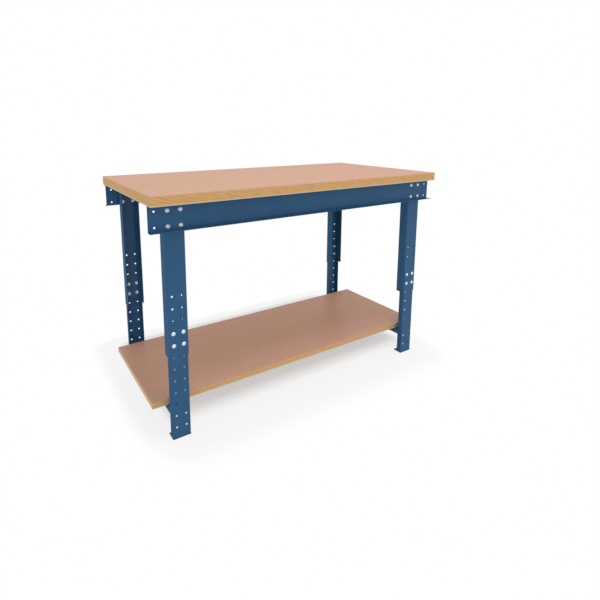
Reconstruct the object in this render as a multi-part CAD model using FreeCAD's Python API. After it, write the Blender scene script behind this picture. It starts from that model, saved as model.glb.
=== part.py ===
"""Height-adjustable assembly table: a beech worktop and shelf on telescopic legs of bent sheet steel.

Millimetres. The origin is on the floor under the middle of the table.
+X runs along the table to its right end, +Y runs from its front to its rear, and +Z is up.
The table is drawn at its greatest height. The worktop, rails and upper legs slide down as one unit.
"""

import FreeCAD, Part
import math
import os

V = FreeCAD.Vector

# The whole table, whose worktop, rails and shelf are all of one length
table_length = 1500.0
table_depth = 750.0

# Boards
worktop_thickness = 40.0
worktop_overhang = 44.0
shelf_thickness = 25.0
shelf_top_height = 152.0
shelf_gap_to_legs = 4.0
board_edge_round = 1.5

# Sheet steel
sheet = 2.0
bend_inner_radius = 2.0
nest_clearance = 0.3

# Legs: an upper U channel, open towards the inside, over a smaller lower one
leg_centre_from_end = 100.0
upper_leg_width = 80.0
upper_leg_depth = 50.0
upper_leg_length = 600.0
lower_leg_depth = 27.0
lower_leg_height = 500.0
foot_plate_depth = 47.0
foot_plate_thickness = 4.0

# Leg holes, for setting the height and for accessories
hole_pitch = 50.0
hole_column_spacing = 40.0
upper_hole_rows = 5
bolted_rows = 2
overlap_rows = 3
lowest_hole_height = 40.0

# Rails: C channels with both flanges outward
rail_height = 100.0
rail_flange = 30.0
rail_above_legs = 7.0
rail_bolt_spacing = 50.0
rail_row_spacing = 60.0
rail_lower_row = 17.0
rail_end_hole = 25.0

# Cross beams: inverted U channels
shelf_beam_height = 25.0
worktop_beam_height = 30.0

# M8 bolts with a flanged button head, and flanged hexagon nuts
bolt_diameter = 8.0
bolt_length = 16.0
bolt_end_chamfer = 0.8
bolt_hole_diameter = 8.4
bolt_flange_diameter = 16.4
bolt_flange_thickness = 1.2
bolt_head_height = 4.4
bolt_dome_diameter = 14.0
bolt_crown_diameter = 8.5
bolt_socket_flats = 5.0
bolt_socket_depth = 2.6
nut_flange_diameter = 17.9
nut_flange_thickness = 1.4
nut_flats = 13.0
nut_height = 8.0
thread_play = 0.05

# Wood screws with a pan head, driven upwards
screw_diameter = 5.0
screw_hole_diameter = 6.0
screw_head_diameter = 11.0
screw_head_height = 3.5
screw_head_round = 1.5
worktop_screw_length = 30.0
shelf_screw_length = 20.0
screws_per_rail = 6
screws_per_worktop_beam = 2
screws_per_shelf_beam = 3
rail_screw_from_end = 60.0
beam_screw_from_end = 80.0

# Distances from the middle of the table, worked out from the sizes above
leg_x = table_length / 2 - leg_centre_from_end
rail_end_hole_x = table_length / 2 - rail_end_hole
rail_face = table_depth / 2 - worktop_overhang
rail_back = rail_face - sheet
rail_flange_middle = rail_back + rail_flange / 2
upper_face = rail_back
upper_back = upper_face - sheet
upper_tip = upper_face - upper_leg_depth
lower_leg_width = upper_leg_width - 2 * sheet - 2 * nest_clearance
lower_face = upper_back - nest_clearance
lower_back = lower_face - sheet
lower_tip = lower_face - lower_leg_depth
shelf_depth = 2 * (upper_tip - shelf_gap_to_legs)

# Heights above the floor, worked out from the sizes above
upper_bottom = lower_leg_height - overlap_rows * hole_pitch
upper_top = upper_bottom + upper_leg_length
rail_top = upper_top + rail_above_legs
rail_bottom = rail_top - rail_height
shelf_bottom = shelf_top_height - shelf_thickness
rail_rows = [rail_bottom + rail_lower_row, rail_bottom + rail_lower_row + rail_row_spacing]
upper_rows = [upper_bottom + (row + 1) * hole_pitch for row in range(upper_hole_rows)]
lower_row_count = int((lower_leg_height - lowest_hole_height) // hole_pitch)
lower_rows = [lower_leg_height - (row + 1) * hole_pitch for row in range(lower_row_count)]

corners = {
    "front_left": (-1, -1),
    "front_right": (1, -1),
    "rear_left": (-1, 1),
    "rear_right": (1, 1),
}
sides = {"left": -1, "right": 1}


def block(low, high):
    """A block between two opposite corners."""
    size = V(*high) - V(*low)
    return Part.makeBox(size.x, size.y, size.z, V(*low))


def disc(diameter, bottom, top):
    """A cylinder on the z axis between two heights."""
    return Part.makeCylinder(diameter / 2, top - bottom, V(0, 0, bottom))


def hexagon(flats, bottom, top):
    """A hexagonal prism on the z axis between two heights."""
    radius = flats / math.sqrt(3)
    turns = [k * math.pi / 3 for k in range(7)]
    points = [V(radius * math.cos(turn), radius * math.sin(turn), bottom) for turn in turns]
    return Part.Face(Part.makePolygon(points)).extrude(V(0, 0, top - bottom))


def placed(shape, origin, x_axis, y_axis, z_axis):
    """A copy whose own axes lie along the given ones, with its own origin at the given point."""
    rotation = FreeCAD.Rotation(V(*x_axis), V(*y_axis), V(*z_axis), "ZYX")
    moved = shape.copy()
    moved.Placement = FreeCAD.Placement(V(*origin), rotation)
    return moved


def channel(width, depth, length):
    """A bent U channel: its web on y = 0, its flanges towards +y, its width along x, its length along z."""
    outer = block((-width / 2, 0, 0), (width / 2, depth, length))
    outer = rounded_along_web(outer, width / 2, 0, bend_inner_radius + sheet)
    inner_half = width / 2 - sheet
    inner = block((-inner_half, sheet, -sheet), (inner_half, depth + sheet, length + sheet))
    inner = rounded_along_web(inner, inner_half, sheet, bend_inner_radius)
    return outer.cut(inner)


def rounded_along_web(solid, half_width, web_y, radius):
    """Rounds the two long edges where the web meets the flanges."""
    bends = []
    for edge in solid.Edges:
        ends = [vertex.Point for vertex in edge.Vertexes]
        if all(on_bend(point, half_width, web_y) for point in ends):
            bends.append(edge)
    return solid.makeFillet(radius, bends)


def on_bend(point, half_width, web_y):
    """Whether a corner point lies on one of a channel's two bends."""
    near = 1e-6
    return abs(abs(point.x) - half_width) < near and abs(point.y - web_y) < near


def standing(shape, side_x, side_y, face, bottom):
    """Stands a leg channel at one corner, with its web outward on the given face."""
    origin = (side_x * leg_x, side_y * face, bottom)
    return placed(shape, origin, (-side_y, 0, 0), (0, -side_y, 0), (0, 0, 1))


def web_holes(solid, side_y, places):
    """Cuts bolt holes through a front or rear web at (x, height) places, with a drill longer than any web."""
    drill_length = 2 * rail_flange
    for x, height in places:
        start = V(x, side_y * (upper_face - drill_length / 2), height)
        drill = Part.makeCylinder(bolt_hole_diameter / 2, drill_length, start, V(0, side_y, 0))
        solid = solid.cut(drill)
    return solid


def grid(side_x, spacing, heights):
    """Places in two columns about one leg, at each of the heights."""
    columns = [side_x * leg_x - spacing / 2, side_x * leg_x + spacing / 2]
    return [(x, height) for height in heights for x in columns]


def spread(count, half_span):
    """Evenly spaced places from -half_span to half_span."""
    return [half_span * (2 * place / (count - 1) - 1) for place in range(count)]


def upper_leg(side_x, side_y):
    """The outer channel of a leg, with its height holes and its rail bolt holes."""
    solid = channel(upper_leg_width, upper_leg_depth, upper_leg_length)
    solid = standing(solid, side_x, side_y, upper_face, upper_bottom)
    places = grid(side_x, hole_column_spacing, upper_rows) + grid(side_x, rail_bolt_spacing, rail_rows)
    return web_holes(solid, side_y, places)


def lower_leg(side_x, side_y):
    """The inner channel of a leg, standing on its foot plate."""
    solid = channel(lower_leg_width, lower_leg_depth, lower_leg_height - foot_plate_thickness)
    solid = standing(solid, side_x, side_y, lower_face, foot_plate_thickness)
    return web_holes(solid, side_y, grid(side_x, hole_column_spacing, lower_rows))


def foot_plate(side_x, side_y):
    """The plate under a lower leg, which reaches inward past the flanges."""
    near_y, far_y = sorted([side_y * lower_face, side_y * (lower_face - foot_plate_depth)])
    half_width = lower_leg_width / 2
    low = (side_x * leg_x - half_width, near_y, 0)
    high = (side_x * leg_x + half_width, far_y, foot_plate_thickness)
    return block(low, high)


def rail(side_y):
    """A rail along the table, with bolt holes at the legs, a free pair at each end and screw holes on top."""
    solid = channel(rail_height, rail_flange, table_length)
    origin = (side_y * table_length / 2, side_y * rail_back, rail_bottom + rail_height / 2)
    solid = placed(solid, origin, (0, 0, 1), (0, side_y, 0), (-side_y, 0, 0))
    for side_x in sides.values():
        free_pair = [(side_x * rail_end_hole_x, height) for height in rail_rows]
        solid = web_holes(solid, side_y, grid(side_x, rail_bolt_spacing, rail_rows) + free_pair)
    return screw_holes(solid, rail_screw_places(side_y), rail_top)


def beam(side_x, width, height, tip, top, screw_places):
    """A cross beam between a front and a rear leg, butted against the tips of their flanges."""
    solid = channel(width, height, 2 * tip)
    solid = placed(solid, (side_x * leg_x, -tip, top), (1, 0, 0), (0, 0, -1), (0, 1, 0))
    return screw_holes(solid, screw_places, top)


def screw_holes(solid, places, top):
    """Cuts screw holes through the level sheet just under a height."""
    for x, y in places:
        start = V(x, y, top - 2 * sheet)
        drill = Part.makeCylinder(screw_hole_diameter / 2, 4 * sheet, start)
        solid = solid.cut(drill)
    return solid


def rail_screw_places(side_y):
    """Where screws pass up through a rail's top flange."""
    half_span = table_length / 2 - rail_screw_from_end
    return [(x, side_y * rail_flange_middle) for x in spread(screws_per_rail, half_span)]


def beam_screw_places(side_x, tip, count):
    """Where screws pass up through a cross beam."""
    return [(side_x * leg_x, y) for y in spread(count, tip - beam_screw_from_end)]


def board(length, depth, bottom, thickness, places, screw_length):
    """A board with softened edges and a pilot hole for each screw."""
    solid = block((-length / 2, -depth / 2, bottom), (length / 2, depth / 2, bottom + thickness))
    solid = solid.makeFillet(board_edge_round, solid.Edges)
    pilot_depth = screw_length - sheet + thread_play
    for x, y in places:
        start = V(x, y, bottom - sheet)
        pilot = Part.makeCylinder(screw_diameter / 2 + thread_play, pilot_depth + sheet, start)
        solid = solid.cut(pilot)
    return solid


def bolt():
    """A bolt whose head bears on z = 0, with its shank towards -z and a hexagon socket in its domed head."""
    dome = bolt_dome_diameter / 2
    crown = bolt_crown_diameter / 2
    rise = bolt_head_height - bolt_flange_thickness
    centre = bolt_flange_thickness - (dome ** 2 - crown ** 2 - rise ** 2) / (2 * rise)
    radius = math.hypot(dome, bolt_flange_thickness - centre)
    cap = Part.makeSphere(radius, V(0, 0, centre)).common(disc(bolt_dome_diameter, 0, bolt_head_height))
    flange = disc(bolt_flange_diameter, 0, bolt_flange_thickness)
    shank = disc(bolt_diameter, -bolt_length, 0)
    end = [edge for edge in shank.Edges if edge.BoundBox.ZMax < -bolt_length / 2]
    shank = shank.makeChamfer(bolt_end_chamfer, end)
    socket = hexagon(bolt_socket_flats, bolt_head_height - bolt_socket_depth, bolt_head_height + 1)
    return cap.fuse(flange).fuse(shank).removeSplitter().cut(socket)


def nut():
    """A flanged nut that bears on z = 0, with its body towards -z."""
    across_corners = 2 * nut_flats / math.sqrt(3)
    bevel = (across_corners - nut_flats) / 2
    envelope = disc(across_corners, -nut_height, 0)
    end = [edge for edge in envelope.Edges if edge.BoundBox.ZMax < -nut_height / 2]
    envelope = envelope.makeChamfer(bevel, end)
    body = hexagon(nut_flats, -nut_height, 0).common(envelope)
    flange = disc(nut_flange_diameter, -nut_flange_thickness, 0)
    bore = disc(bolt_diameter + 2 * thread_play, -nut_height - 1, 1)
    return body.fuse(flange).removeSplitter().cut(bore)


def screw(length):
    """A wood screw pointing up, whose head bears on z = 0 from below."""
    head = disc(screw_head_diameter, -screw_head_height, 0)
    rim = [edge for edge in head.Edges if edge.BoundBox.ZMax < -screw_head_height / 2]
    head = head.makeFillet(screw_head_round, rim)
    straight = disc(screw_diameter, 0, length - screw_diameter)
    point = Part.makeCone(screw_diameter / 2, 0, screw_diameter, V(0, 0, length - screw_diameter))
    return head.fuse(straight).fuse(point).removeSplitter()


def outward(shape, face, side_y, places):
    """Copies of a bolt or nut on a front or rear face, each with its z axis pointing outward."""
    axes = ((1, 0, 0), (0, 0, -side_y), (0, side_y, 0))
    return [placed(shape, (x, side_y * face, height), *axes) for x, height in places]


def upward(shape, places, top):
    """Copies of a screw under the level sheet whose top is at a height."""
    axes = ((1, 0, 0), (0, 1, 0), (0, 0, 1))
    return [placed(shape, (x, y, top - sheet), *axes) for x, y in places]


def export(name, *solids):
    """Writes one named piece, or one group of like fasteners, as a STEP file."""
    shape = solids[0] if len(solids) == 1 else Part.makeCompound(solids)
    if not shape.isValid():
        raise ValueError(name + " is not a valid shape")
    shape.exportStep("parts/" + name + ".step")
    print(name, len(shape.Solids), "solid(s),", round(shape.Volume), "mm3")


def export_corner(corner, side_x, side_y):
    """The pieces at one corner of the table."""
    export("upper_leg_" + corner, upper_leg(side_x, side_y))
    export("lower_leg_" + corner, lower_leg(side_x, side_y))
    export("foot_plate_" + corner, foot_plate(side_x, side_y))
    rail_places = grid(side_x, rail_bolt_spacing, rail_rows)
    export("rail_bolts_" + corner, *outward(bolt(), rail_face, side_y, rail_places))
    export("rail_nuts_" + corner, *outward(nut(), upper_back, side_y, rail_places))
    leg_places = grid(side_x, hole_column_spacing, upper_rows[:bolted_rows])
    export("leg_bolts_" + corner, *outward(bolt(), upper_face, side_y, leg_places))
    export("leg_nuts_" + corner, *outward(nut(), lower_back, side_y, leg_places))


def export_boards_and_beams():
    """The rails, the cross beams, the two boards and the screws that hold them."""
    worktop_places = []
    shelf_places = []
    for side, side_y in {"front": -1, "rear": 1}.items():
        export(side + "_rail", rail(side_y))
        worktop_places += rail_screw_places(side_y)
    for side, side_x in sides.items():
        places = beam_screw_places(side_x, upper_tip, screws_per_worktop_beam)
        solid = beam(side_x, upper_leg_width, worktop_beam_height, upper_tip, rail_top, places)
        export("worktop_beam_" + side, solid)
        worktop_places += places
        places = beam_screw_places(side_x, lower_tip, screws_per_shelf_beam)
        solid = beam(side_x, lower_leg_width, shelf_beam_height, lower_tip, shelf_bottom, places)
        export("shelf_beam_" + side, solid)
        shelf_places += places
    worktop_sizes = (table_length, table_depth, rail_top, worktop_thickness)
    shelf_sizes = (table_length, shelf_depth, shelf_bottom, shelf_thickness)
    export("worktop", board(*worktop_sizes, worktop_places, worktop_screw_length))
    export("shelf_board", board(*shelf_sizes, shelf_places, shelf_screw_length))
    export("worktop_screws", *upward(screw(worktop_screw_length), worktop_places, rail_top))
    export("shelf_screws", *upward(screw(shelf_screw_length), shelf_places, shelf_bottom))


os.makedirs("parts", exist_ok=True)
for corner, (side_x, side_y) in corners.items():
    export_corner(corner, side_x, side_y)
export_boards_and_beams()
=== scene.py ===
import math
import bmesh
import bpy
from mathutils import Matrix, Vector


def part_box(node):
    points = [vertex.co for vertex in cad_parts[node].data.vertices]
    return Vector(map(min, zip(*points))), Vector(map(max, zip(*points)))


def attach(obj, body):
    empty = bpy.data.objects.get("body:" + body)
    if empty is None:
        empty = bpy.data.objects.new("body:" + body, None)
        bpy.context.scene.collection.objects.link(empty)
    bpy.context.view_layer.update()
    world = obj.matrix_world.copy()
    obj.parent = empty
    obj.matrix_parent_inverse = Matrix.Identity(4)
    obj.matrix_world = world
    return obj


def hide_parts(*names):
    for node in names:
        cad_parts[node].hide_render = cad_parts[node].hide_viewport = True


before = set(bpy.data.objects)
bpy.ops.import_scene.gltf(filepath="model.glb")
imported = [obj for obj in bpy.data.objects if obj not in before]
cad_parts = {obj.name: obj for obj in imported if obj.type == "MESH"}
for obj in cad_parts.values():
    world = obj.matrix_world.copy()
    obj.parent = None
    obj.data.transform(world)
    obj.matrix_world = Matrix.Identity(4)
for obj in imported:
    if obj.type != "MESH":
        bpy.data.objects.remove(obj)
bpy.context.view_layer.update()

mm = 0.001                     # sizes below are in millimetres unless they say metres
micrometre = mm / 1000
corners = ["front_left", "front_right", "rear_left", "rear_right"]
scene = bpy.context.scene


def addNode(tree, kind, settings=None, links=None):
    # one node, with its settings and with its inputs linked or set
    node = tree.nodes.new(kind)
    for name, value in (settings or {}).items():
        setattr(node, name, value)
    for name, value in (links or {}).items():
        if isinstance(value, bpy.types.Node):
            value = next(output for output in value.outputs if output.enabled)
        if isinstance(value, bpy.types.NodeSocket):
            tree.links.new(value, node.inputs[name])
        else:
            node.inputs[name].default_value = value
    return node


def linearColour(hexText):
    # sRGB hex to the linear values that shaders take
    shares = [int(hexText[place:place + 2], 16) / 255 for place in (1, 3, 5)]
    linear = [share / 12.92 if share <= 0.04045 else ((share + 0.055) / 1.055) ** 2.4 for share in shares]
    return (*linear, 1.0)


def newMaterial(name):
    material = bpy.data.materials.new(name)
    material.use_nodes = True
    material.node_tree.nodes.clear()
    return material, material.node_tree


noiseReach = {"From Min": 0.3, "From Max": 0.7}        # where most of a noise's values lie


def stretchedNoise(tree, place, length, width, detail, wander=0.0):
    # soft noise whose marks are as long and as wide as given, long along X
    scale = (1 / (length * mm), 1 / (width * mm), 1 / (width * mm))
    mapped = addNode(tree, "ShaderNodeMapping", {}, {"Vector": place, "Scale": scale})
    links = {"Vector": mapped, "Scale": 1.0, "Detail": detail, "Distortion": wander}
    return addNode(tree, "ShaderNodeTexNoise", {}, links)


def strayNoise(tree, place, pattern, reach):
    # the same noise, spread over all from -reach to reach
    noise = stretchedNoise(tree, place, *pattern)
    links = {"Value": noise, **noiseReach, "To Min": -reach, "To Max": reach}
    return addNode(tree, "ShaderNodeMapRange", {}, links)


def layColour(tree, under, over, pattern, start, full, most=1.0):
    # one colour over another where a pattern goes from start to full, up to a share of most
    links = {"Value": pattern, "From Min": start, "From Max": full, "To Max": most}
    share = addNode(tree, "ShaderNodeMapRange", {}, links)
    return addNode(tree, "ShaderNodeMix", {"data_type": "RGBA"}, {0: share, 6: under, 7: over}).outputs[2]


print("frame loaded:", len(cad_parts), "nodes")


# Lacquered steamed beech multiplex: pinkish rotary-cut faces in broad soft bands, and golden
# edges where the plies and their slanting growth lines show, with a light greyish line along the
# bottom of each edge that is the bottom veneer plus a painted highlight of the bright floor on the
# rounded lower edge. The worktop is rubbed matt, and the shelf keeps more of the lacquer's shine,
# so the legs mirror faintly in it.
# A pattern is given by its marks' length and width, its detail and its wander, and Show by the
# values of it where the marks start and are full, and how strong they get
beech = {
    "facePink": "#D9A691",
    "faceBeige": "#D5AA8A",
    "faceDark": "#B98D74",
    "edgeLight": "#E6B67A",
    "edgeDark": "#CC9A5E",
    # light and greyish: the bottom veneer plus a painted highlight of the bright floor on the rounded lower
    # edge
    "bottomVeneer": "#DCCBA8",
    "topVeneer": "#E2B490",
    "drift": (600, 160, 1.0), "driftBy": 14,                       # how the grain strays sideways
    "band": (1400, 120, 1.5), "bandShow": (0.32, 0.68),            # broad colour bands along the board
    "streak": (700, 11, 3.0, 0.4), "streakShow": (0.5, 0.72, 0.34),    # darker growth streaks
    "grain": (70, 3.2, 2.0), "grainShow": (0.4, 0.7, 0.12),        # coarser than the real 1 mm, to show
    "grainStrength": 0.35, "grainDepth": 0.12,
    "fleck": (5, 1.1, 0.0), "fleckShow": (0.66, 0.78, 0.35),       # the small rays that mark beech
    "stripeRise": (0.30, 0.42, 1.0),           # the edge stripes fall along X and Y as they rise in Z
    "stripeSpacing": 12.5, "stripeShow": (-0.8, 1.2),              # each board says how strong they get
    "stripeBend": (260, 60, 1.0), "stripeBendBy": 4.5,
    "stripeBreak": (42, 8.75, 1.0),
    "clearFrom": -0.7, "clearTo": 0.3,         # metres along X, where the stripes start and end fading
    "leastClear": 0.15,
    "fibre": (60, 2.5, 2.0), "fibreShow": (0.3, 0.7, 0.3),         # fine lines along the edges
    "bottomInner": 6.2, "bottomOuter": 2.9,    # how far up the light bottom veneer, with its painted highlight, starts and is full
    "topInner": 5.3, "topOuter": 1.7,          # how far down the pinkish top veneer starts and is full
    "faceLevel": (0.55, 0.85),                 # how level the wood is where the edge becomes the face
}
boards = {
    "worktop": {"finish": "matt_lacquered_beech_worktop", "stripes": 0.7,
                "roughness": (0.53, 0.65), "specular": 0.2},
    "shelf_board": {"finish": "satin_lacquered_beech_shelf", "stripes": 0.3,
                    "roughness": (0.35, 0.47), "specular": 0.14},
}


def makeBeech(node):
    board = boards[node]
    material, tree = newMaterial(board["finish"])
    bottom, top = (corner.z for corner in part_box(node))
    coordinates = addNode(tree, "ShaderNodeTexCoord")
    place = coordinates.outputs["Object"]

    # the grain strays a little sideways as it runs along the board
    drift = strayNoise(tree, place, beech["drift"], beech["driftBy"] * mm)
    push = addNode(tree, "ShaderNodeCombineXYZ", {}, {"Y": drift})
    bent = addNode(tree, "ShaderNodeVectorMath", {"operation": "ADD"}, {0: place, 1: push})

    dark = linearColour(beech["faceDark"])
    band = stretchedNoise(tree, bent, *beech["band"])
    face = layColour(tree, linearColour(beech["faceBeige"]), linearColour(beech["facePink"]),
                     band, *beech["bandShow"])
    streak = stretchedNoise(tree, bent, *beech["streak"])
    face = layColour(tree, face, dark, streak, *beech["streakShow"])
    grain = stretchedNoise(tree, bent, *beech["grain"])
    face = layColour(tree, face, dark, grain, *beech["grainShow"])
    fleck = stretchedNoise(tree, place, *beech["fleck"])
    face = layColour(tree, face, dark, fleck, *beech["fleckShow"])

    # slanting stripes on the edges, bent by noise, broken up, and fading along the board
    along = addNode(tree, "ShaderNodeVectorMath", {"operation": "DOT_PRODUCT"},
                    {0: place, 1: beech["stripeRise"]}).outputs["Value"]
    shift = strayNoise(tree, place, beech["stripeBend"], beech["stripeBendBy"] * mm)
    shifted = addNode(tree, "ShaderNodeMath", {"operation": "ADD"}, {0: along, 1: shift})
    turns = 2 * math.pi / (beech["stripeSpacing"] * mm)
    angle = addNode(tree, "ShaderNodeMath", {"operation": "MULTIPLY"}, {0: shifted, 1: turns})
    wave = addNode(tree, "ShaderNodeMath", {"operation": "SINE"}, {0: angle})
    sides = addNode(tree, "ShaderNodeSeparateXYZ", {}, {"Vector": place}).outputs
    slanted = addNode(tree, "ShaderNodeCombineXYZ", {}, {"X": sides["X"], "Y": sides["Y"], "Z": shifted})
    uneven = strayNoise(tree, slanted, beech["stripeBreak"], 1.0)
    clear = addNode(tree, "ShaderNodeMapRange", {}, {
        "Value": sides["X"], "From Min": beech["clearFrom"], "From Max": beech["clearTo"],
        "To Min": 1.0, "To Max": beech["leastClear"]})
    wave = addNode(tree, "ShaderNodeMath", {"operation": "MULTIPLY_ADD"}, {0: wave, 1: clear, 2: uneven})
    edge = layColour(tree, linearColour(beech["edgeLight"]), linearColour(beech["edgeDark"]),
                     wave, *beech["stripeShow"], board["stripes"])
    fibre = stretchedNoise(tree, place, *beech["fibre"])
    edge = layColour(tree, edge, linearColour(beech["edgeDark"]), fibre, *beech["fibreShow"])
    # the light bottom veneer, lightened further as a painted highlight of the floor, and the pinkish top
    # veneer
    for name, start, way in (("bottom", bottom, mm), ("top", top, -mm)):
        inner, outer = (start + beech[name + end] * way for end in ("Inner", "Outer"))
        edge = layColour(tree, edge, linearColour(beech[name + "Veneer"]), sides["Z"], inner, outer)

    # faces point up or down, edges sideways
    normal = addNode(tree, "ShaderNodeSeparateXYZ", {}, {"Vector": coordinates.outputs["Normal"]}).outputs
    level = addNode(tree, "ShaderNodeMath", {"operation": "ABSOLUTE"}, {0: normal["Z"]})
    colour = layColour(tree, edge, face, level, *beech["faceLevel"])

    least, most = board["roughness"]
    rough = addNode(tree, "ShaderNodeMapRange", {}, {
        "Value": grain, **noiseReach, "To Min": least, "To Max": most})
    bump = addNode(tree, "ShaderNodeBump", {}, {
        "Strength": beech["grainStrength"], "Distance": beech["grainDepth"] * mm, "Height": grain})
    shader = addNode(tree, "ShaderNodeBsdfPrincipled", {}, {
        "Base Color": colour, "Roughness": rough, "Specular IOR Level": board["specular"], "Normal": bump})
    addNode(tree, "ShaderNodeOutputMaterial", {}, {"Surface": shader})
    return material


# Satin epoxy powder coat on sheet steel: an even deep blue that mirrors dark neighbours softly,
# with the orange peel that the powder leaves where it melts. The narrow sides, which the spray
# reaches at a slant, come out dull
powderCoat = {
    "blue": "#2F5D85",
    "blueThin": "#33628A",                     # a little lighter where the coat runs thin
    "patch": (160, 160, 2.0), "patchShow": (0.3, 0.7),
    "peel": (2.2, 2.2, 1.0), "peelStrength": 0.3, "peelDepth": 0.05,
    "swell": (30, 30, 1.0),                    # coarser than the real peel, so that it shows
    "swellStrength": 0.8, "swellDepth": 0.5,
    "roughness": 0.18, "sideRoughness": 0.75,
    "sideStart": 0.2, "sideFull": 0.9,         # how far the steel faces sideways where it turns dull
    "specular": 0.17,
}


def makePowderCoat(name):
    material, tree = newMaterial(name)
    coordinates = addNode(tree, "ShaderNodeTexCoord")
    place = coordinates.outputs["Object"]
    patch = stretchedNoise(tree, place, *powderCoat["patch"])
    colour = layColour(tree, linearColour(powderCoat["blue"]), linearColour(powderCoat["blueThin"]),
                       patch, *powderCoat["patchShow"])
    peel = stretchedNoise(tree, place, *powderCoat["peel"])
    fine = addNode(tree, "ShaderNodeBump", {}, {
        "Strength": powderCoat["peelStrength"], "Distance": powderCoat["peelDepth"] * mm, "Height": peel})
    swell = stretchedNoise(tree, place, *powderCoat["swell"])
    coarse = addNode(tree, "ShaderNodeBump", {}, {
        "Strength": powderCoat["swellStrength"], "Distance": powderCoat["swellDepth"] * mm,
        "Height": swell, "Normal": fine})
    normal = addNode(tree, "ShaderNodeSeparateXYZ", {}, {"Vector": coordinates.outputs["Normal"]}).outputs
    sideways = addNode(tree, "ShaderNodeMath", {"operation": "ABSOLUTE"}, {0: normal["X"]})
    rough = addNode(tree, "ShaderNodeMapRange", {}, {
        "Value": sideways, "From Min": powderCoat["sideStart"], "From Max": powderCoat["sideFull"],
        "To Min": powderCoat["roughness"], "To Max": powderCoat["sideRoughness"]})
    shader = addNode(tree, "ShaderNodeBsdfPrincipled", {}, {
        "Base Color": colour, "Roughness": rough, "Specular IOR Level": powderCoat["specular"],
        "Normal": coarse})
    addNode(tree, "ShaderNodeOutputMaterial", {}, {"Surface": shader})
    return material


# Bright zinc plating on cold-headed steel: pale silver with a faint blue and straw tint from the
# passivation bath
zinc = {
    "silver": "#E6EEFA",
    "straw": "#E2E7EE",
    "patch": (5, 5, 2.0), "patchShow": (0.3, 0.7),
    "patchStrength": 0.15, "patchDepth": 0.05,
    "roughness": (0.30, 0.46),
}


def makeZinc(name):
    material, tree = newMaterial(name)
    place = addNode(tree, "ShaderNodeTexCoord").outputs["Object"]
    patch = stretchedNoise(tree, place, *zinc["patch"])
    colour = layColour(tree, linearColour(zinc["silver"]), linearColour(zinc["straw"]),
                       patch, *zinc["patchShow"])
    least, most = zinc["roughness"]
    rough = addNode(tree, "ShaderNodeMapRange", {}, {
        "Value": patch, **noiseReach, "To Min": least, "To Max": most})
    bump = addNode(tree, "ShaderNodeBump", {}, {
        "Strength": zinc["patchStrength"], "Distance": zinc["patchDepth"] * mm, "Height": patch})
    shader = addNode(tree, "ShaderNodeBsdfPrincipled", {}, {
        "Base Color": colour, "Metallic": 1.0, "Roughness": rough, "Normal": bump})
    addNode(tree, "ShaderNodeOutputMaterial", {}, {"Surface": shader})
    return material


worktopBeech = makeBeech("worktop")
shelfBeech = makeBeech("shelf_board")
bluePowderCoat = makePowderCoat("satin_blue_powder_coat")
zincPlate = makeZinc("bright_zinc_plate")
finishes = {
    "beech_multiplex": worktopBeech,
    "blue_powder_coat": bluePowderCoat,
    "zinc_plated_steel": zincPlate,
}
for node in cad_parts.values():
    for slot in node.material_slots:
        slot.material = finishes[slot.material.name.split(".")[0]]
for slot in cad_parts["shelf_board"].material_slots:
    slot.material = shelfBeech
print("materials made")


joinGap = 0.004                # points of a grown shape that lie closer than this are one
smoothAngle = 32               # degrees, up to which an edge is shaded smooth


def makeTree(name, sizes):
    # a Geometry Nodes tree with a named input for each size
    tree = bpy.data.node_groups.new(name, "GeometryNodeTree")
    tree.interface.new_socket("Geometry", in_out="INPUT", socket_type="NodeSocketGeometry")
    for size, value in sizes.items():
        kind = "NodeSocketInt" if isinstance(value, int) else "NodeSocketFloat"
        tree.interface.new_socket(size, in_out="INPUT", socket_type=kind)
    tree.interface.new_socket("Material", in_out="INPUT", socket_type="NodeSocketMaterial")
    tree.interface.new_socket("Geometry", in_out="OUTPUT", socket_type="NodeSocketGeometry")
    return tree, addNode(tree, "NodeGroupInput").outputs


def growPiece(name, start, tree, sizes, material):
    # runs the tree on the start mesh and keeps the result as a plain mesh
    piece = bpy.data.objects.new(name, start)
    modifier = piece.modifiers.new("grow", "NODES")
    modifier.node_group = tree
    values = {**sizes, "Material": material}
    for socket in tree.interface.items_tree:
        if socket.in_out == "INPUT" and socket.name in values:
            modifier[socket.identifier] = values[socket.name]
    scene.collection.objects.link(piece)
    graph = bpy.context.evaluated_depsgraph_get()
    mesh = bpy.data.meshes.new_from_object(piece.evaluated_get(graph))
    piece.modifiers.clear()
    piece.data = mesh
    mesh.materials.clear()
    mesh.materials.append(material)
    mesh.polygons.foreach_set("material_index", [0] * len(mesh.polygons))
    mesh.shade_smooth()
    mesh.set_sharp_from_angle(angle=math.radians(smoothAngle))
    return piece


def timesEach(tree, inputs, factor, *sizes):
    # each of the named sizes times a factor
    return [addNode(tree, "ShaderNodeMath", {"operation": "MULTIPLY"}, {0: inputs[size], 1: factor})
            for size in sizes]


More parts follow.
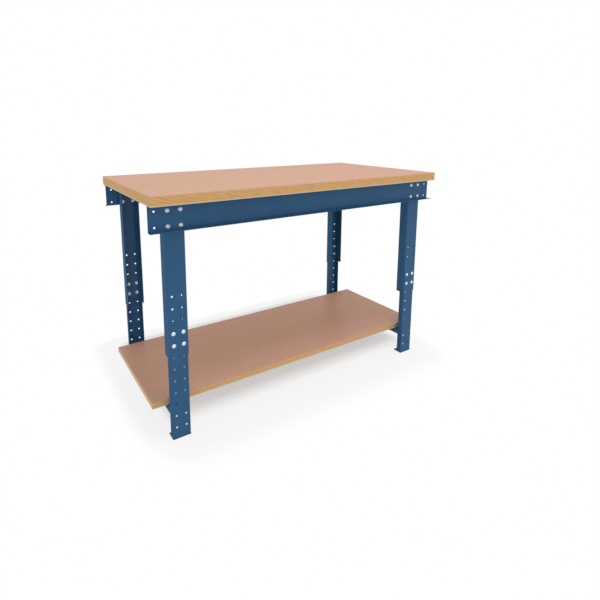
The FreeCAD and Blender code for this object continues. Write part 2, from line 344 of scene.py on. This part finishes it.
def turnedShape(tree, around, rings, profile):
    # a grid bent round the z axis: profile gives each ring's radius and height, from the head's side down
    across = addNode(tree, "ShaderNodeMath", {"operation": "ADD"}, {0: around, 1: 1})
    grid = addNode(tree, "GeometryNodeMeshGrid", {}, {"Vertices X": across, "Vertices Y": rings})
    index = addNode(tree, "GeometryNodeInputIndex")
    ring = addNode(tree, "ShaderNodeMath", {"operation": "MODULO"}, {0: index, 1: rings})
    line = addNode(tree, "ShaderNodeMath", {"operation": "DIVIDE"}, {0: index, 1: rings})
    line = addNode(tree, "ShaderNodeMath", {"operation": "FLOOR"}, {0: line})
    turn = addNode(tree, "ShaderNodeMath", {"operation": "DIVIDE"}, {0: line, 1: around})
    angle = addNode(tree, "ShaderNodeMath", {"operation": "MULTIPLY"}, {0: turn, 1: 2 * math.pi})
    radius, height = profile(ring, turn, angle)
    parts = {"Z": height}
    for axis, operation in {"X": "COSINE", "Y": "SINE"}.items():
        share = addNode(tree, "ShaderNodeMath", {"operation": operation}, {0: angle})
        parts[axis] = addNode(tree, "ShaderNodeMath", {"operation": "MULTIPLY"}, {0: radius, 1: share})
    place = addNode(tree, "ShaderNodeCombineXYZ", {}, parts)
    bent = addNode(tree, "GeometryNodeSetPosition", {}, {"Geometry": grid.outputs["Mesh"], "Position": place})
    facingOut = addNode(tree, "GeometryNodeFlipFaces", {}, {"Mesh": bent})
    return addNode(tree, "GeometryNodeMergeByDistance", {}, {"Geometry": facingOut, "Distance": joinGap})


# ways to move a ring, in radius and in height
inward = (-1, 0)
outward = (1, 0)
down = (0, -1)
up = (0, 1)


def ringTable(tree, ring, rows):
    # picks a ring's row: its radius, its height and its share of the six-sided shape. After these
    # a row may name ways to move the ring, each with how far
    picked = addNode(tree, "GeometryNodeIndexSwitch", {"data_type": "VECTOR"}, {"Index": ring})
    while len(picked.index_switch_items) < len(rows):
        picked.index_switch_items.new()
    for place, (radius, height, share, *moves) in enumerate(rows):
        values = addNode(tree, "ShaderNodeCombineXYZ", {}, {"X": radius, "Y": height, "Z": share})
        for way, reach in zip(moves[::2], moves[1::2]):
            values = addNode(tree, "ShaderNodeVectorMath", {"operation": "MULTIPLY_ADD"},
                             {0: (*way, 0), 1: reach, 2: values})
        tree.links.new(values.outputs[0], picked.inputs[place + 1])
    return addNode(tree, "ShaderNodeSeparateXYZ", {}, {"Vector": picked}).outputs


def flatsFactor(tree, angle):
    # how much further out a hexagon lies than its flats, at an angle
    sixth = math.pi / 3
    within = addNode(tree, "ShaderNodeMath", {"operation": "MODULO"}, {0: angle, 1: sixth})
    offCentre = addNode(tree, "ShaderNodeMath", {"operation": "SUBTRACT"}, {0: within, 1: sixth / 2})
    near = addNode(tree, "ShaderNodeMath", {"operation": "COSINE"}, {0: offCentre})
    return addNode(tree, "ShaderNodeMath", {"operation": "DIVIDE"}, {0: 1.0, 1: near})


def lobesFactor(tree, angle):
    # six soft lobes, as in a star-shaped screw recess
    lobeDepth = 0.16                           # share of the recess's radius
    sixfold = addNode(tree, "ShaderNodeMath", {"operation": "MULTIPLY"}, {0: angle, 1: 6})
    wave = addNode(tree, "ShaderNodeMath", {"operation": "COSINE"}, {0: sixfold})
    return addNode(tree, "ShaderNodeMath", {"operation": "MULTIPLY_ADD"}, {0: wave, 1: lobeDepth, 2: 1.0})


def shapedProfile(tree, rows, factor):
    # the rows' rings, pushed out to the six-sided shape by the share that each row gives
    def profile(ring, turn, angle):
        row = ringTable(tree, ring, rows)
        extra = addNode(tree, "ShaderNodeMath", {"operation": "SUBTRACT"}, {0: factor(tree, angle), 1: 1})
        extra = addNode(tree, "ShaderNodeMath", {"operation": "MULTIPLY"}, {0: extra, 1: row[2]})
        further = addNode(tree, "ShaderNodeMath", {"operation": "MULTIPLY"}, {0: extra, 1: row[0]})
        radius = addNode(tree, "ShaderNodeMath", {"operation": "ADD"}, {0: row[0], 1: further})
        return radius, row[1]
    return profile


def threadedShank(tree, inputs):
    # a helical thread towards -z, with crest and root rings in turn, run out at both ends. Each
    # turn has two rings, and five more start and close it
    length = inputs["Length"]
    turns = addNode(tree, "ShaderNodeMath", {"operation": "DIVIDE"}, {0: length, 1: inputs["Thread pitch"]})
    turns = addNode(tree, "ShaderNodeMath", {"operation": "CEIL"}, {0: turns})
    rings = addNode(tree, "ShaderNodeMath", {"operation": "MULTIPLY_ADD"}, {0: turns, 1: 2, 2: 5})
    outer, endRadius = timesEach(tree, inputs, 0.5, "Thread diameter", "End diameter")
    root = addNode(tree, "ShaderNodeMath", {"operation": "SUBTRACT"}, {0: outer, 1: inputs["Thread depth"]})

    def profile(ring, turn, angle):
        advance = addNode(tree, "ShaderNodeMath", {"operation": "MULTIPLY_ADD"}, {0: ring, 1: 0.5, 2: turn})
        advance = addNode(tree, "ShaderNodeMath", {"operation": "SUBTRACT"}, {0: advance, 1: 1})
        below = addNode(tree, "ShaderNodeMath", {"operation": "MULTIPLY"},
                        {0: advance, 1: inputs["Thread pitch"]})
        below = addNode(tree, "ShaderNodeClamp", {}, {"Value": below, "Max": length})
        crest = addNode(tree, "ShaderNodeMath", {"operation": "MODULO"}, {0: ring, 1: 2})
        crest = addNode(tree, "ShaderNodeMath", {"operation": "MULTIPLY_ADD"},
                        {0: crest, 1: inputs["Thread depth"], 2: root})
        runOut = addNode(tree, "ShaderNodeMath", {"operation": "ADD"}, {0: root, 1: below})
        left = addNode(tree, "ShaderNodeMath", {"operation": "SUBTRACT"}, {0: length, 1: below})
        point = addNode(tree, "ShaderNodeMath", {"operation": "MULTIPLY_ADD"},
                        {0: left, 1: inputs["Point taper"], 2: endRadius})
        radius = addNode(tree, "ShaderNodeMath", {"operation": "MINIMUM"}, {0: crest, 1: runOut})
        radius = addNode(tree, "ShaderNodeMath", {"operation": "MINIMUM"}, {0: radius, 1: point})
        # the last ring closes the end
        last = addNode(tree, "ShaderNodeMath", {"operation": "SUBTRACT"}, {0: rings, 1: 1.5})
        within = addNode(tree, "ShaderNodeMath", {"operation": "LESS_THAN"}, {0: ring, 1: last})
        radius = addNode(tree, "ShaderNodeMath", {"operation": "MULTIPLY"}, {0: radius, 1: within})
        return radius, addNode(tree, "ShaderNodeMath", {"operation": "MULTIPLY"}, {0: below, 1: -1})
    return profile, rings, root


def placeCopies(tree, inputs, shapes):
    # one copy at each start point, its z axis along the point's facing, turned by chance about it
    joined = addNode(tree, "GeometryNodeJoinGeometry")
    for shape in shapes:
        tree.links.new(shape.outputs[0], joined.inputs[0])
    welded = addNode(tree, "GeometryNodeMergeByDistance", {}, {"Geometry": joined, "Distance": joinGap})
    facing = addNode(tree, "GeometryNodeInputNamedAttribute", {"data_type": "FLOAT_VECTOR"},
                     {"Name": "facing"})
    upright = addNode(tree, "FunctionNodeAlignRotationToVector", {"axis": "Z"}, {"Vector": facing})
    chance = addNode(tree, "FunctionNodeRandomValue", {"data_type": "FLOAT"},
                     {2: 0.0, 3: 2 * math.pi, "Seed": inputs["Seed"]})
    spin = addNode(tree, "FunctionNodeAxisAngleToRotation", {}, {"Axis": (0, 0, 1), "Angle": chance})
    turned = addNode(tree, "FunctionNodeRotateRotation", {"rotation_space": "LOCAL"},
                     {"Rotation": upright, "Rotate By": spin})
    links = {"Points": inputs["Geometry"], "Instance": welded, "Rotation": turned, "Scale": (mm, mm, mm)}
    copies = addNode(tree, "GeometryNodeInstanceOnPoints", {}, links)
    real = addNode(tree, "GeometryNodeRealizeInstances", {}, {"Geometry": copies})
    painted = addNode(tree, "GeometryNodeSetMaterial", {}, {"Geometry": real, "Material": inputs["Material"]})
    addNode(tree, "NodeGroupOutput", {}, {"Geometry": painted})


# M8 x 16 bolts with a flanged button head and a 5 mm hexagon socket
bolt = {
    "Flange diameter": 16.4, "Flange thickness": 1.2, "Dome diameter": 14.0, "Crown diameter": 8.5,
    "Head height": 4.4, "Flange edge": 0.3, "Seat edge": 0.15,
    "Socket flats": 5.0, "Socket depth": 2.6, "Socket tip": 0.6, "Socket edge": 0.25,
    "Thread diameter": 8.0, "Thread pitch": 1.25, "Thread depth": 0.65, "Length": 16.0,
    "End diameter": 6.2, "Point taper": 1.0,
    "Points around": 36, "Seed": 4,
}


def makeBoltTree():
    tree, inputs = makeTree("flangedButtonBolt", bolt)
    shank, rings, root = threadedShank(tree, inputs)
    flange, dome, crown, flats = timesEach(tree, inputs, 0.5, "Flange diameter", "Dome diameter",
                                           "Crown diameter", "Socket flats")
    top = inputs["Head height"]
    rim = inputs["Flange thickness"]
    floor = addNode(tree, "ShaderNodeMath", {"operation": "SUBTRACT"}, {0: top, 1: inputs["Socket depth"]})
    rise = addNode(tree, "ShaderNodeMath", {"operation": "SUBTRACT"}, {0: top, 1: rim})
    domeSquare = addNode(tree, "ShaderNodeMath", {"operation": "POWER"}, {0: dome, 1: 2})
    crownSquare = addNode(tree, "ShaderNodeMath", {"operation": "POWER"}, {0: crown, 1: 2})
    spread = addNode(tree, "ShaderNodeMath", {"operation": "SUBTRACT"}, {0: domeSquare, 1: crownSquare})
    rows = [
        (0.0, floor, 0.0, down, inputs["Socket tip"]),
        (flats, floor, 1.0),
        (flats, top, 1.0, down, inputs["Socket edge"]),
        (flats, top, 1.0, outward, inputs["Socket edge"]),
    ]
    for share in (0.0, 0.25, 0.5, 0.75, 1.0):      # the dome falls as the square of its radius grows
        square = addNode(tree, "ShaderNodeMath", {"operation": "MULTIPLY_ADD"},
                         {0: spread, 1: share, 2: crownSquare})
        radius = addNode(tree, "ShaderNodeMath", {"operation": "SQRT"}, {0: square})
        height = addNode(tree, "ShaderNodeMath", {"operation": "MULTIPLY_ADD"}, {0: rise, 1: -share, 2: top})
        rows.append((radius, height, 0.0))
    rows += [
        (flange, rim, 0.0, inward, inputs["Flange edge"]),
        (flange, rim, 0.0, down, inputs["Flange edge"]),
        (flange, 0.0, 0.0, up, inputs["Seat edge"]),
        (flange, 0.0, 0.0, inward, inputs["Seat edge"]),
        (root, 0.0, 0.0),
    ]
    head = turnedShape(tree, inputs["Points around"], len(rows), shapedProfile(tree, rows, flatsFactor))
    thread = turnedShape(tree, inputs["Points around"], rings, shank)
    placeCopies(tree, inputs, [head, thread])
    return tree


# M8 hexagon nuts with a flange, 13 mm across the flats
nut = {
    "Flange diameter": 17.9, "Flange thickness": 1.4, "Flange edge": 0.35, "Seat edge": 0.15,
    "Flats": 13.0, "Height": 8.0, "End edge": 0.15, "End inset": 0.195,
    "Cone width": 0.75, "Cone drop": 0.5, "Cone height": 1.4,      # from the flange to the flats
    "Bore diameter": 8.1, "Bore edge": 0.5, "Bore edge depth": 0.6,
    "Points around": 36, "Seed": 9,
}


def makeNutTree():
    tree, inputs = makeTree("flangedNut", nut)
    flange, flats, bore = timesEach(tree, inputs, 0.5, "Flange diameter", "Flats", "Bore diameter")
    rim, back = timesEach(tree, inputs, -1, "Flange thickness", "Height")
    rows = [
        (bore, 0.0, 0.0, down, inputs["Bore edge depth"]),
        (bore, 0.0, 0.0, outward, inputs["Bore edge"]),
        (flange, 0.0, 0.0, inward, inputs["Seat edge"]),
        (flange, 0.0, 0.0, down, inputs["Seat edge"]),
        (flange, rim, 0.0, up, inputs["Flange edge"]),
        (flange, rim, 0.0, inward, inputs["Flange edge"]),
        (flats, rim, 0.35, outward, inputs["Cone width"], down, inputs["Cone drop"]),
        (flats, rim, 1.0, down, inputs["Cone height"]),
        (flats, back, 1.0, up, inputs["End edge"]),
        (flats, back, 0.0, inward, inputs["End inset"]),
        (bore, back, 0.0, outward, inputs["Bore edge"]),
        (bore, back, 0.0, up, inputs["Bore edge depth"]),
        (bore, 0.0, 0.0, down, inputs["Bore edge depth"]),
    ]
    shape = turnedShape(tree, inputs["Points around"], len(rows), shapedProfile(tree, rows, flatsFactor))
    placeCopies(tree, inputs, [shape])
    return tree


# Pan head wood screws with a star recess
screw = {
    "Head diameter": 11.0, "Head height": 3.5, "Head round": 1.5, "Edge": 0.2,
    "Recess diameter": 4.6, "Recess depth": 2.0, "Recess draft": 0.23, "Recess tip": 0.5,
    "Thread diameter": 5.0, "Thread pitch": 2.2, "Thread depth": 0.8, "Length": 30.0,
    "End diameter": 0.0, "Point taper": 0.5,
    "Points around": 36, "Seed": 2,
}
screwRows = {
    "worktop": {"body": "top", "Length": 30.0},
    "shelf": {"body": "base", "Length": 20.0},
}


def makeScrewTree():
    tree, inputs = makeTree("starPanScrew", screw)
    shank, rings, root = threadedShank(tree, inputs)
    head, recess = timesEach(tree, inputs, 0.5, "Head diameter", "Recess diameter")
    top = inputs["Head height"]
    floor = addNode(tree, "ShaderNodeMath", {"operation": "SUBTRACT"}, {0: top, 1: inputs["Recess depth"]})
    rows = [
        (0.0, floor, 0.0, down, inputs["Recess tip"]),
        (recess, floor, 1.0, inward, inputs["Recess draft"]),
        (recess, top, 1.0, down, inputs["Edge"]),
        (recess, top, 1.0, outward, inputs["Edge"]),
    ]
    for share in (0.0, 1 / 3, 2 / 3, 1.0):
        angle = share * math.pi / 2
        onRound = (math.sin(angle) - 1, math.cos(angle) - 1)
        rows.append((head, top, 0.0, onRound, inputs["Head round"]))
    rows += [
        (head, 0.0, 0.0, up, inputs["Edge"]),
        (head, 0.0, 0.0, inward, inputs["Edge"]),
        (root, 0.0, 0.0),
    ]
    cap = turnedShape(tree, inputs["Points around"], len(rows), shapedProfile(tree, rows, lobesFactor))
    thread = turnedShape(tree, inputs["Points around"], rings, shank)
    placeCopies(tree, inputs, [cap, thread])
    return tree


def solidBoxes(name):
    # the lowest and highest corner of each loose solid in a node, from a merged copy
    mesh = bmesh.new()
    mesh.from_mesh(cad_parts[name].data)
    bmesh.ops.remove_doubles(mesh, verts=mesh.verts, dist=micrometre)
    waiting = set(mesh.verts)
    boxes = []
    while waiting:
        edge = [waiting.pop()]
        found = []
        while edge:
            vertex = edge.pop()
            found.append(vertex.co.copy())
            near = {link.other_vert(vertex) for link in vertex.link_edges} & waiting
            waiting -= near
            edge += near
        boxes.append([Vector(end(point[axis] for point in found) for axis in range(3)) for end in (min, max)])
    mesh.free()
    return sorted(boxes, key=lambda box: tuple(round(value, 4) for value in box[0]))


def seatPoints(nodes, facings, seatHeight):
    # a point on each fastener's seat, facing out of its head, seatHeight behind the head's top
    points = []
    ways = []
    for name, facing in zip(nodes, facings):
        way = Vector(facing)
        for low, high in solidBoxes(name):
            middle = (low + high) / 2
            reach = (high - low).dot(Vector(map(abs, way))) / 2
            points.append(middle + way * (reach - seatHeight * mm))
            ways.append(way)
    start = bpy.data.meshes.new("seats")
    start.from_pydata(points, [], [])
    attribute = start.attributes.new("facing", "FLOAT_VECTOR", "POINT")
    for item, way in zip(attribute.data, ways):
        item.vector = way
    return start


def finishPiece(piece, body, nodes):
    # drops the seats' helper, and says what the piece rides on and what it replaces
    for name in [layer.name for layer in piece.data.attributes if layer.name == "facing"]:
        piece.data.attributes.remove(piece.data.attributes[name])
    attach(piece, body)
    if nodes:
        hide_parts(*nodes)


def makeFasteners():
    facings = [(0, 1 if "rear" in corner else -1, 0) for corner in corners] * 2
    kinds = {
        "bolts": {"tree": makeBoltTree(), "sizes": bolt, "seat": bolt["Head height"]},
        "nuts": {"tree": makeNutTree(), "sizes": nut, "seat": 0.0},
    }
    for name, kind in kinds.items():
        nodes = [f"{group}_{name}_{corner}" for group in ("rail", "leg") for corner in corners]
        start = seatPoints(nodes, facings, kind["seat"])
        piece = growPiece("m8_" + name, start, kind["tree"], kind["sizes"], zincPlate)
        finishPiece(piece, "top", nodes)
    screwTree = makeScrewTree()
    for board, row in screwRows.items():
        node = board + "_screws"
        start = seatPoints([node], [(0, 0, -1)], screw["Head height"])
        sizes = {**screw, "Length": row["Length"]}
        piece = growPiece("star_screws_" + board, start, screwTree, sizes, zincPlate)
        finishPiece(piece, row["body"], [node])


makeFasteners()
print("fasteners grown")


# Short arc welds under the powder coat. The bead's sizes are its tree's inputs
weld = {
    "bead": {"Bead radius": 1.6, "Ripple pitch": 2.0, "Ripple": 0.09, "Step": 0.55, "End size": 0.35,
             "Points around": 8},
    "sheet": 2.0,
    "inset": 0.5,                              # how far a corner bead's middle stands off both sheets
    "relief": 1.0,                             # how far a bead ends before the end of its joint
    "bendClear": 2.7,                          # how far a foot bead stays off the channel's bends
    "bendMiddle": 0.3,                         # share of that, for the point between
    "sunk": 0.1,                               # how far an upright bead's middle is sunk into its beam
}


def makeWeldTree():
    tree, inputs = makeTree("weldBead", weld["bead"])
    line = addNode(tree, "GeometryNodeMeshToCurve", {}, {0: inputs["Geometry"]})
    step, radius, pitch = timesEach(tree, inputs, mm, "Step", "Bead radius", "Ripple pitch")
    dense = addNode(tree, "GeometryNodeResampleCurve", {"mode": "LENGTH"}, {"Curve": line, "Length": step})
    along = addNode(tree, "GeometryNodeSplineParameter").outputs["Length"]
    whole = addNode(tree, "GeometryNodeSplineLength").outputs["Length"]

    # ripples along the bead, and a soft end on each side
    turns = addNode(tree, "ShaderNodeMath", {"operation": "DIVIDE"}, {0: along, 1: pitch})
    angle = addNode(tree, "ShaderNodeMath", {"operation": "MULTIPLY"}, {0: turns, 1: 2 * math.pi})
    wave = addNode(tree, "ShaderNodeMath", {"operation": "SINE"}, {0: angle})
    ripple = addNode(tree, "ShaderNodeMath", {"operation": "MULTIPLY_ADD"},
                     {0: wave, 1: inputs["Ripple"], 2: 1.0})
    left = addNode(tree, "ShaderNodeMath", {"operation": "SUBTRACT"}, {0: whole, 1: along})
    nearest = addNode(tree, "ShaderNodeMath", {"operation": "MINIMUM"}, {0: along, 1: left})
    share = addNode(tree, "ShaderNodeMath", {"operation": "DIVIDE"}, {0: nearest, 1: radius})
    rounded = addNode(tree, "ShaderNodeMapRange", {"interpolation_type": "SMOOTHSTEP"},
                      {"Value": share, "To Min": inputs["End size"]})
    scale = addNode(tree, "ShaderNodeMath", {"operation": "MULTIPLY"}, {0: ripple, 1: rounded})
    circle = addNode(tree, "GeometryNodeCurvePrimitiveCircle", {},
                     {"Resolution": inputs["Points around"], "Radius": radius})
    links = {"Curve": dense, "Profile Curve": circle, "Scale": scale, "Fill Caps": True}
    bead = addNode(tree, "GeometryNodeCurveToMesh", {}, links)
    real = addNode(tree, "GeometryNodeRealizeInstances", {}, {"Geometry": bead})
    painted = addNode(tree, "GeometryNodeSetMaterial", {}, {"Geometry": real, "Material": inputs["Material"]})
    addNode(tree, "NodeGroupOutput", {}, {"Geometry": painted})
    return tree


def footPath(corner):
    # round the inside of a lower leg's channel, on its foot plate
    low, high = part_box("lower_leg_" + corner)
    side = -1 if "rear" in corner else 1           # towards the middle of the table
    web, tip = (low.y, high.y) if side > 0 else (high.y, low.y)
    stand = (weld["sheet"] + weld["inset"]) * mm
    back = web + side * stand
    front = tip - side * weld["relief"] * mm
    left, right = low.x + stand, high.x - stand
    turn = weld["bendClear"] * mm
    bend = turn * weld["bendMiddle"]
    path = [(left, front), (left, back + side * turn), (left + bend, back + side * bend), (left + turn, back)]
    path += [(left + right - x, y) for x, y in reversed(path)]
    return [(x, y, low.z + weld["inset"] * mm) for x, y in path]


def buttPaths(beam, leg):
    # upright beads inside the flanges, where the tips of a leg meet the end of a cross beam
    beamLow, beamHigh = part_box(beam)
    legLow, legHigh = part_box(leg)
    tip = legHigh.y if legHigh.y < 0 else legLow.y
    bottom = beamLow.z + weld["relief"] * mm
    top = min(beamHigh.z - weld["sheet"] * mm, legHigh.z) - weld["relief"] * mm
    reach = (weld["sheet"] - weld["sunk"]) * mm
    return [[(x, tip, bottom), (x, tip, top)] for x in (beamLow.x + reach, beamHigh.x - reach)]


def makeWelds():
    paths = {"base": [footPath(corner) for corner in corners], "top": []}
    for corner in corners:
        side = corner.split("_")[1]
        paths["base"] += buttPaths("shelf_beam_" + side, "lower_leg_" + corner)
        paths["top"] += buttPaths("worktop_beam_" + side, "upper_leg_" + corner)
    tree = makeWeldTree()
    for body, lines in paths.items():
        points = [point for line in lines for point in line]
        edges = []
        for line in lines:
            first = edges[-1][1] + 1 if edges else 0
            edges += [(first + place, first + place + 1) for place in range(len(line) - 1)]
        start = bpy.data.meshes.new("weldLines")
        start.from_pydata(points, edges, [])
        piece = growPiece("weld_beads_" + body, start, tree, weld["bead"], bluePowderCoat)
        finishPiece(piece, body, [])


makeWelds()
print("welds laid")


# An evenly bright white sky and a pale floor under one big softbox. The floor glows white for
# what looks at it, least round the table, so that only the soft shade there shows
studio = {
    "skyStrength": 0.74,
    "floorColour": "#EFEFEF",
    "floorPoints": 96,
    "floorRadius": 14.0,                       # metres
    "shadeLow": (-0.62, -0.13, 0.0),           # metres, the part of the floor with the full shade
    "shadeHigh": (0.70, 0.60, 0.0),
    "fadeLow": (2.0, 1.0, 0.0),                # how fast it fades on each side
    "fadeHigh": (2.2, 3.75, 0.0),
    "whiteShare": (0.48, 0.82, 1.0),           # plain white inside, on the way, and far off
    "fadeEnds": (0.13, 0.28, 0.45),            # metres
    "keyPlace": (0.3, -1.2, 4.5),              # metres, as are the two below
    "keyAim": (0.0, 0.0, 0.5),
    "keySize": 1.3,
    "keyPower": 36,                            # watts
}


def lookingRays(tree):
    # 1 for a ray that looks at a thing, straight, in a mirror or through glass, and 0 for one that lights
    path = addNode(tree, "ShaderNodeLightPath")
    looking = path.outputs["Is Camera Ray"]
    for name in ("Is Glossy Ray", "Is Transmission Ray"):
        looking = addNode(tree, "ShaderNodeMath", {"operation": "MAXIMUM"},
                          {0: looking, 1: path.outputs[name]})
    return looking


def makeFloor():
    bpy.ops.mesh.primitive_circle_add(
        vertices=studio["floorPoints"], radius=studio["floorRadius"], fill_type="NGON")
    floor = bpy.context.object
    floor.name = "studioFloor"
    material, tree = newMaterial("studio_floor")
    place = addNode(tree, "ShaderNodeTexCoord").outputs["Object"]
    outside = (0, 0, 0)
    sides = ((studio["shadeLow"], place, studio["fadeLow"]), (place, studio["shadeHigh"], studio["fadeHigh"]))
    for first, second, fade in sides:
        beyond = addNode(tree, "ShaderNodeVectorMath", {"operation": "SUBTRACT"}, {0: first, 1: second})
        beyond = addNode(tree, "ShaderNodeVectorMath", {"operation": "MULTIPLY"}, {0: beyond, 1: fade})
        outside = addNode(tree, "ShaderNodeVectorMath", {"operation": "MAXIMUM"}, {0: beyond, 1: outside})
    away = addNode(tree, "ShaderNodeVectorMath", {"operation": "LENGTH"}, {0: outside}).outputs["Value"]
    inside, middle, far = studio["whiteShare"]
    nearEnd, farStart, farEnd = studio["fadeEnds"]
    near = addNode(tree, "ShaderNodeMapRange", {"interpolation_type": "SMOOTHSTEP"},
                   {"Value": away, "From Max": nearEnd, "To Min": inside, "To Max": middle})
    more = addNode(tree, "ShaderNodeMapRange", {"interpolation_type": "SMOOTHSTEP"},
                   {"Value": away, "From Min": farStart, "From Max": farEnd, "To Max": far - middle})
    white = addNode(tree, "ShaderNodeMath", {"operation": "ADD"}, {0: near, 1: more})
    share = addNode(tree, "ShaderNodeMath", {"operation": "MULTIPLY"}, {0: white, 1: lookingRays(tree)})
    matt = addNode(tree, "ShaderNodeBsdfDiffuse", {}, {"Color": linearColour(studio["floorColour"])})
    glow = addNode(tree, "ShaderNodeEmission", {}, {"Strength": 1.0})
    shader = addNode(tree, "ShaderNodeMixShader", {}, {0: share, 1: matt, 2: glow})
    addNode(tree, "ShaderNodeOutputMaterial", {}, {"Surface": shader})
    floor.data.materials.append(material)


def makeSky():
    scene.world = bpy.data.worlds.new("studioSky")
    scene.world.use_nodes = True
    tree = scene.world.node_tree
    tree.nodes.clear()
    strength = addNode(tree, "ShaderNodeMapRange", {}, {
        "Value": lookingRays(tree), "To Min": studio["skyStrength"], "To Max": 1.0})
    sky = addNode(tree, "ShaderNodeBackground", {}, {"Color": (1.0, 1.0, 1.0, 1.0), "Strength": strength})
    addNode(tree, "ShaderNodeOutputWorld", {}, {"Surface": sky})


def makeKeyLight():
    light = bpy.data.lights.new("softbox", "AREA")
    light.size = studio["keySize"]
    light.energy = studio["keyPower"]
    lamp = bpy.data.objects.new("softbox", light)
    lamp.location = studio["keyPlace"]
    lamp.rotation_euler = (Vector(studio["keyAim"]) - lamp.location).to_track_quat("-Z", "Y").to_euler()
    scene.collection.objects.link(lamp)


camera = {
    "place": (-1.2020, -1.8959, 1.2386),       # metres
    "yaw": 32.50, "pitch": 9.94,               # degrees to the right of +Y, and down
    "focalLength": 26.886, "sensorWidth": 36.0,
    "shiftX": 0.040, "shiftY": -0.160,
}


def makeCamera():
    lens = bpy.data.cameras.new("camera")
    lens.sensor_width = camera["sensorWidth"]
    lens.lens = camera["focalLength"]
    lens.shift_x = camera["shiftX"]
    lens.shift_y = camera["shiftY"]
    eye = bpy.data.objects.new("camera", lens)
    eye.location = camera["place"]
    eye.rotation_euler = (math.radians(90 - camera["pitch"]), 0, math.radians(-camera["yaw"]))
    scene.collection.objects.link(eye)
    scene.camera = eye


makeFloor()
makeSky()
makeKeyLight()
makeCamera()
scene.view_settings.view_transform = "Standard"
print("studio made")
